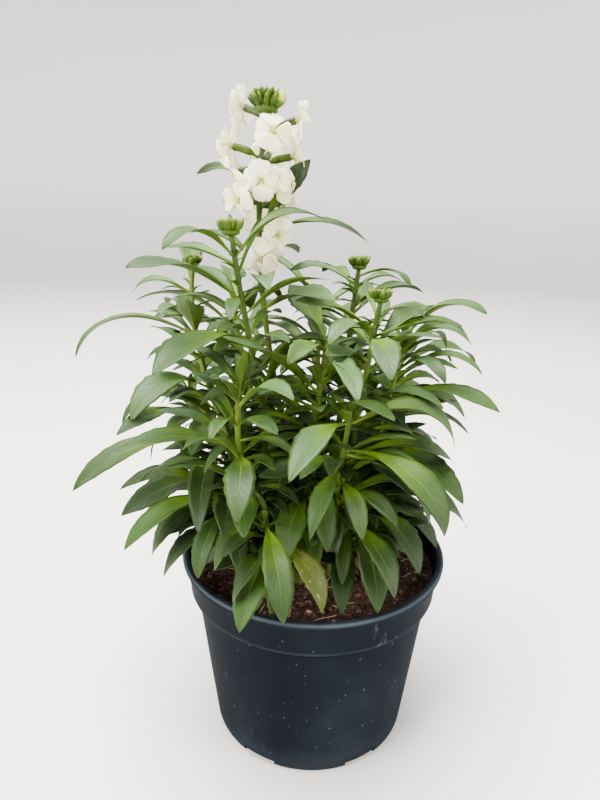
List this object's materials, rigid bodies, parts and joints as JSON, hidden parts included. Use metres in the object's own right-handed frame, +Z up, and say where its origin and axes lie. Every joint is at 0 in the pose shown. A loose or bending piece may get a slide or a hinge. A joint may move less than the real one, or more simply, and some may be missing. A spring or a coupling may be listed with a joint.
{
  "type": "potted flowering plant",
  "caption": "Bushy wallflower with narrow arching green leaves and one upright spike of white flowers, growing in a round dark plastic nursery pot filled with compost.",
  "frame": {"origin": "middle of the pot's flat base, on the surface it stands on", "axes": "+Z up, the viewer of the picture stands towards -Y, +X to the viewer's right"},
  "size_m": [0.2007, 0.1774, 0.3059],
  "materials": {
    "pot": "matte moulded plastic with light scuffs",
    "soil": "moist crumbly compost",
    "foliage": "soft satin leaf",
    "petals": "soft matte petal"
  },
  "bodies": {
    "root": {"pot": "pot", "soil": "soil", "flowering_stem": "foliage", "tall_left": "foliage", "left_high": "foliage", "left_low": "foliage", "front_left": "foliage", "centre": "foliage", "right_high": "foliage", "right": "foliage", "front_right": "foliage", "basal_right": "foliage", "basal_left": "foliage", "basal_front": "foliage", "upper_right": "foliage", "back_left": "foliage", "back_middle": "foliage", "back_right": "foliage", "basal_back_left": "foliage", "basal_back_right": "foliage", "bloom_01": "petals", "bloom_02": "petals", "bloom_03": "petals", "bloom_04": "petals", "bloom_05": "petals", "bloom_06": "petals", "bloom_07": "petals", "bloom_08": "petals", "bloom_09": "petals", "bloom_10": "petals", "bloom_11": "petals", "bloom_12": "petals"}
  },
  "joints": []
}
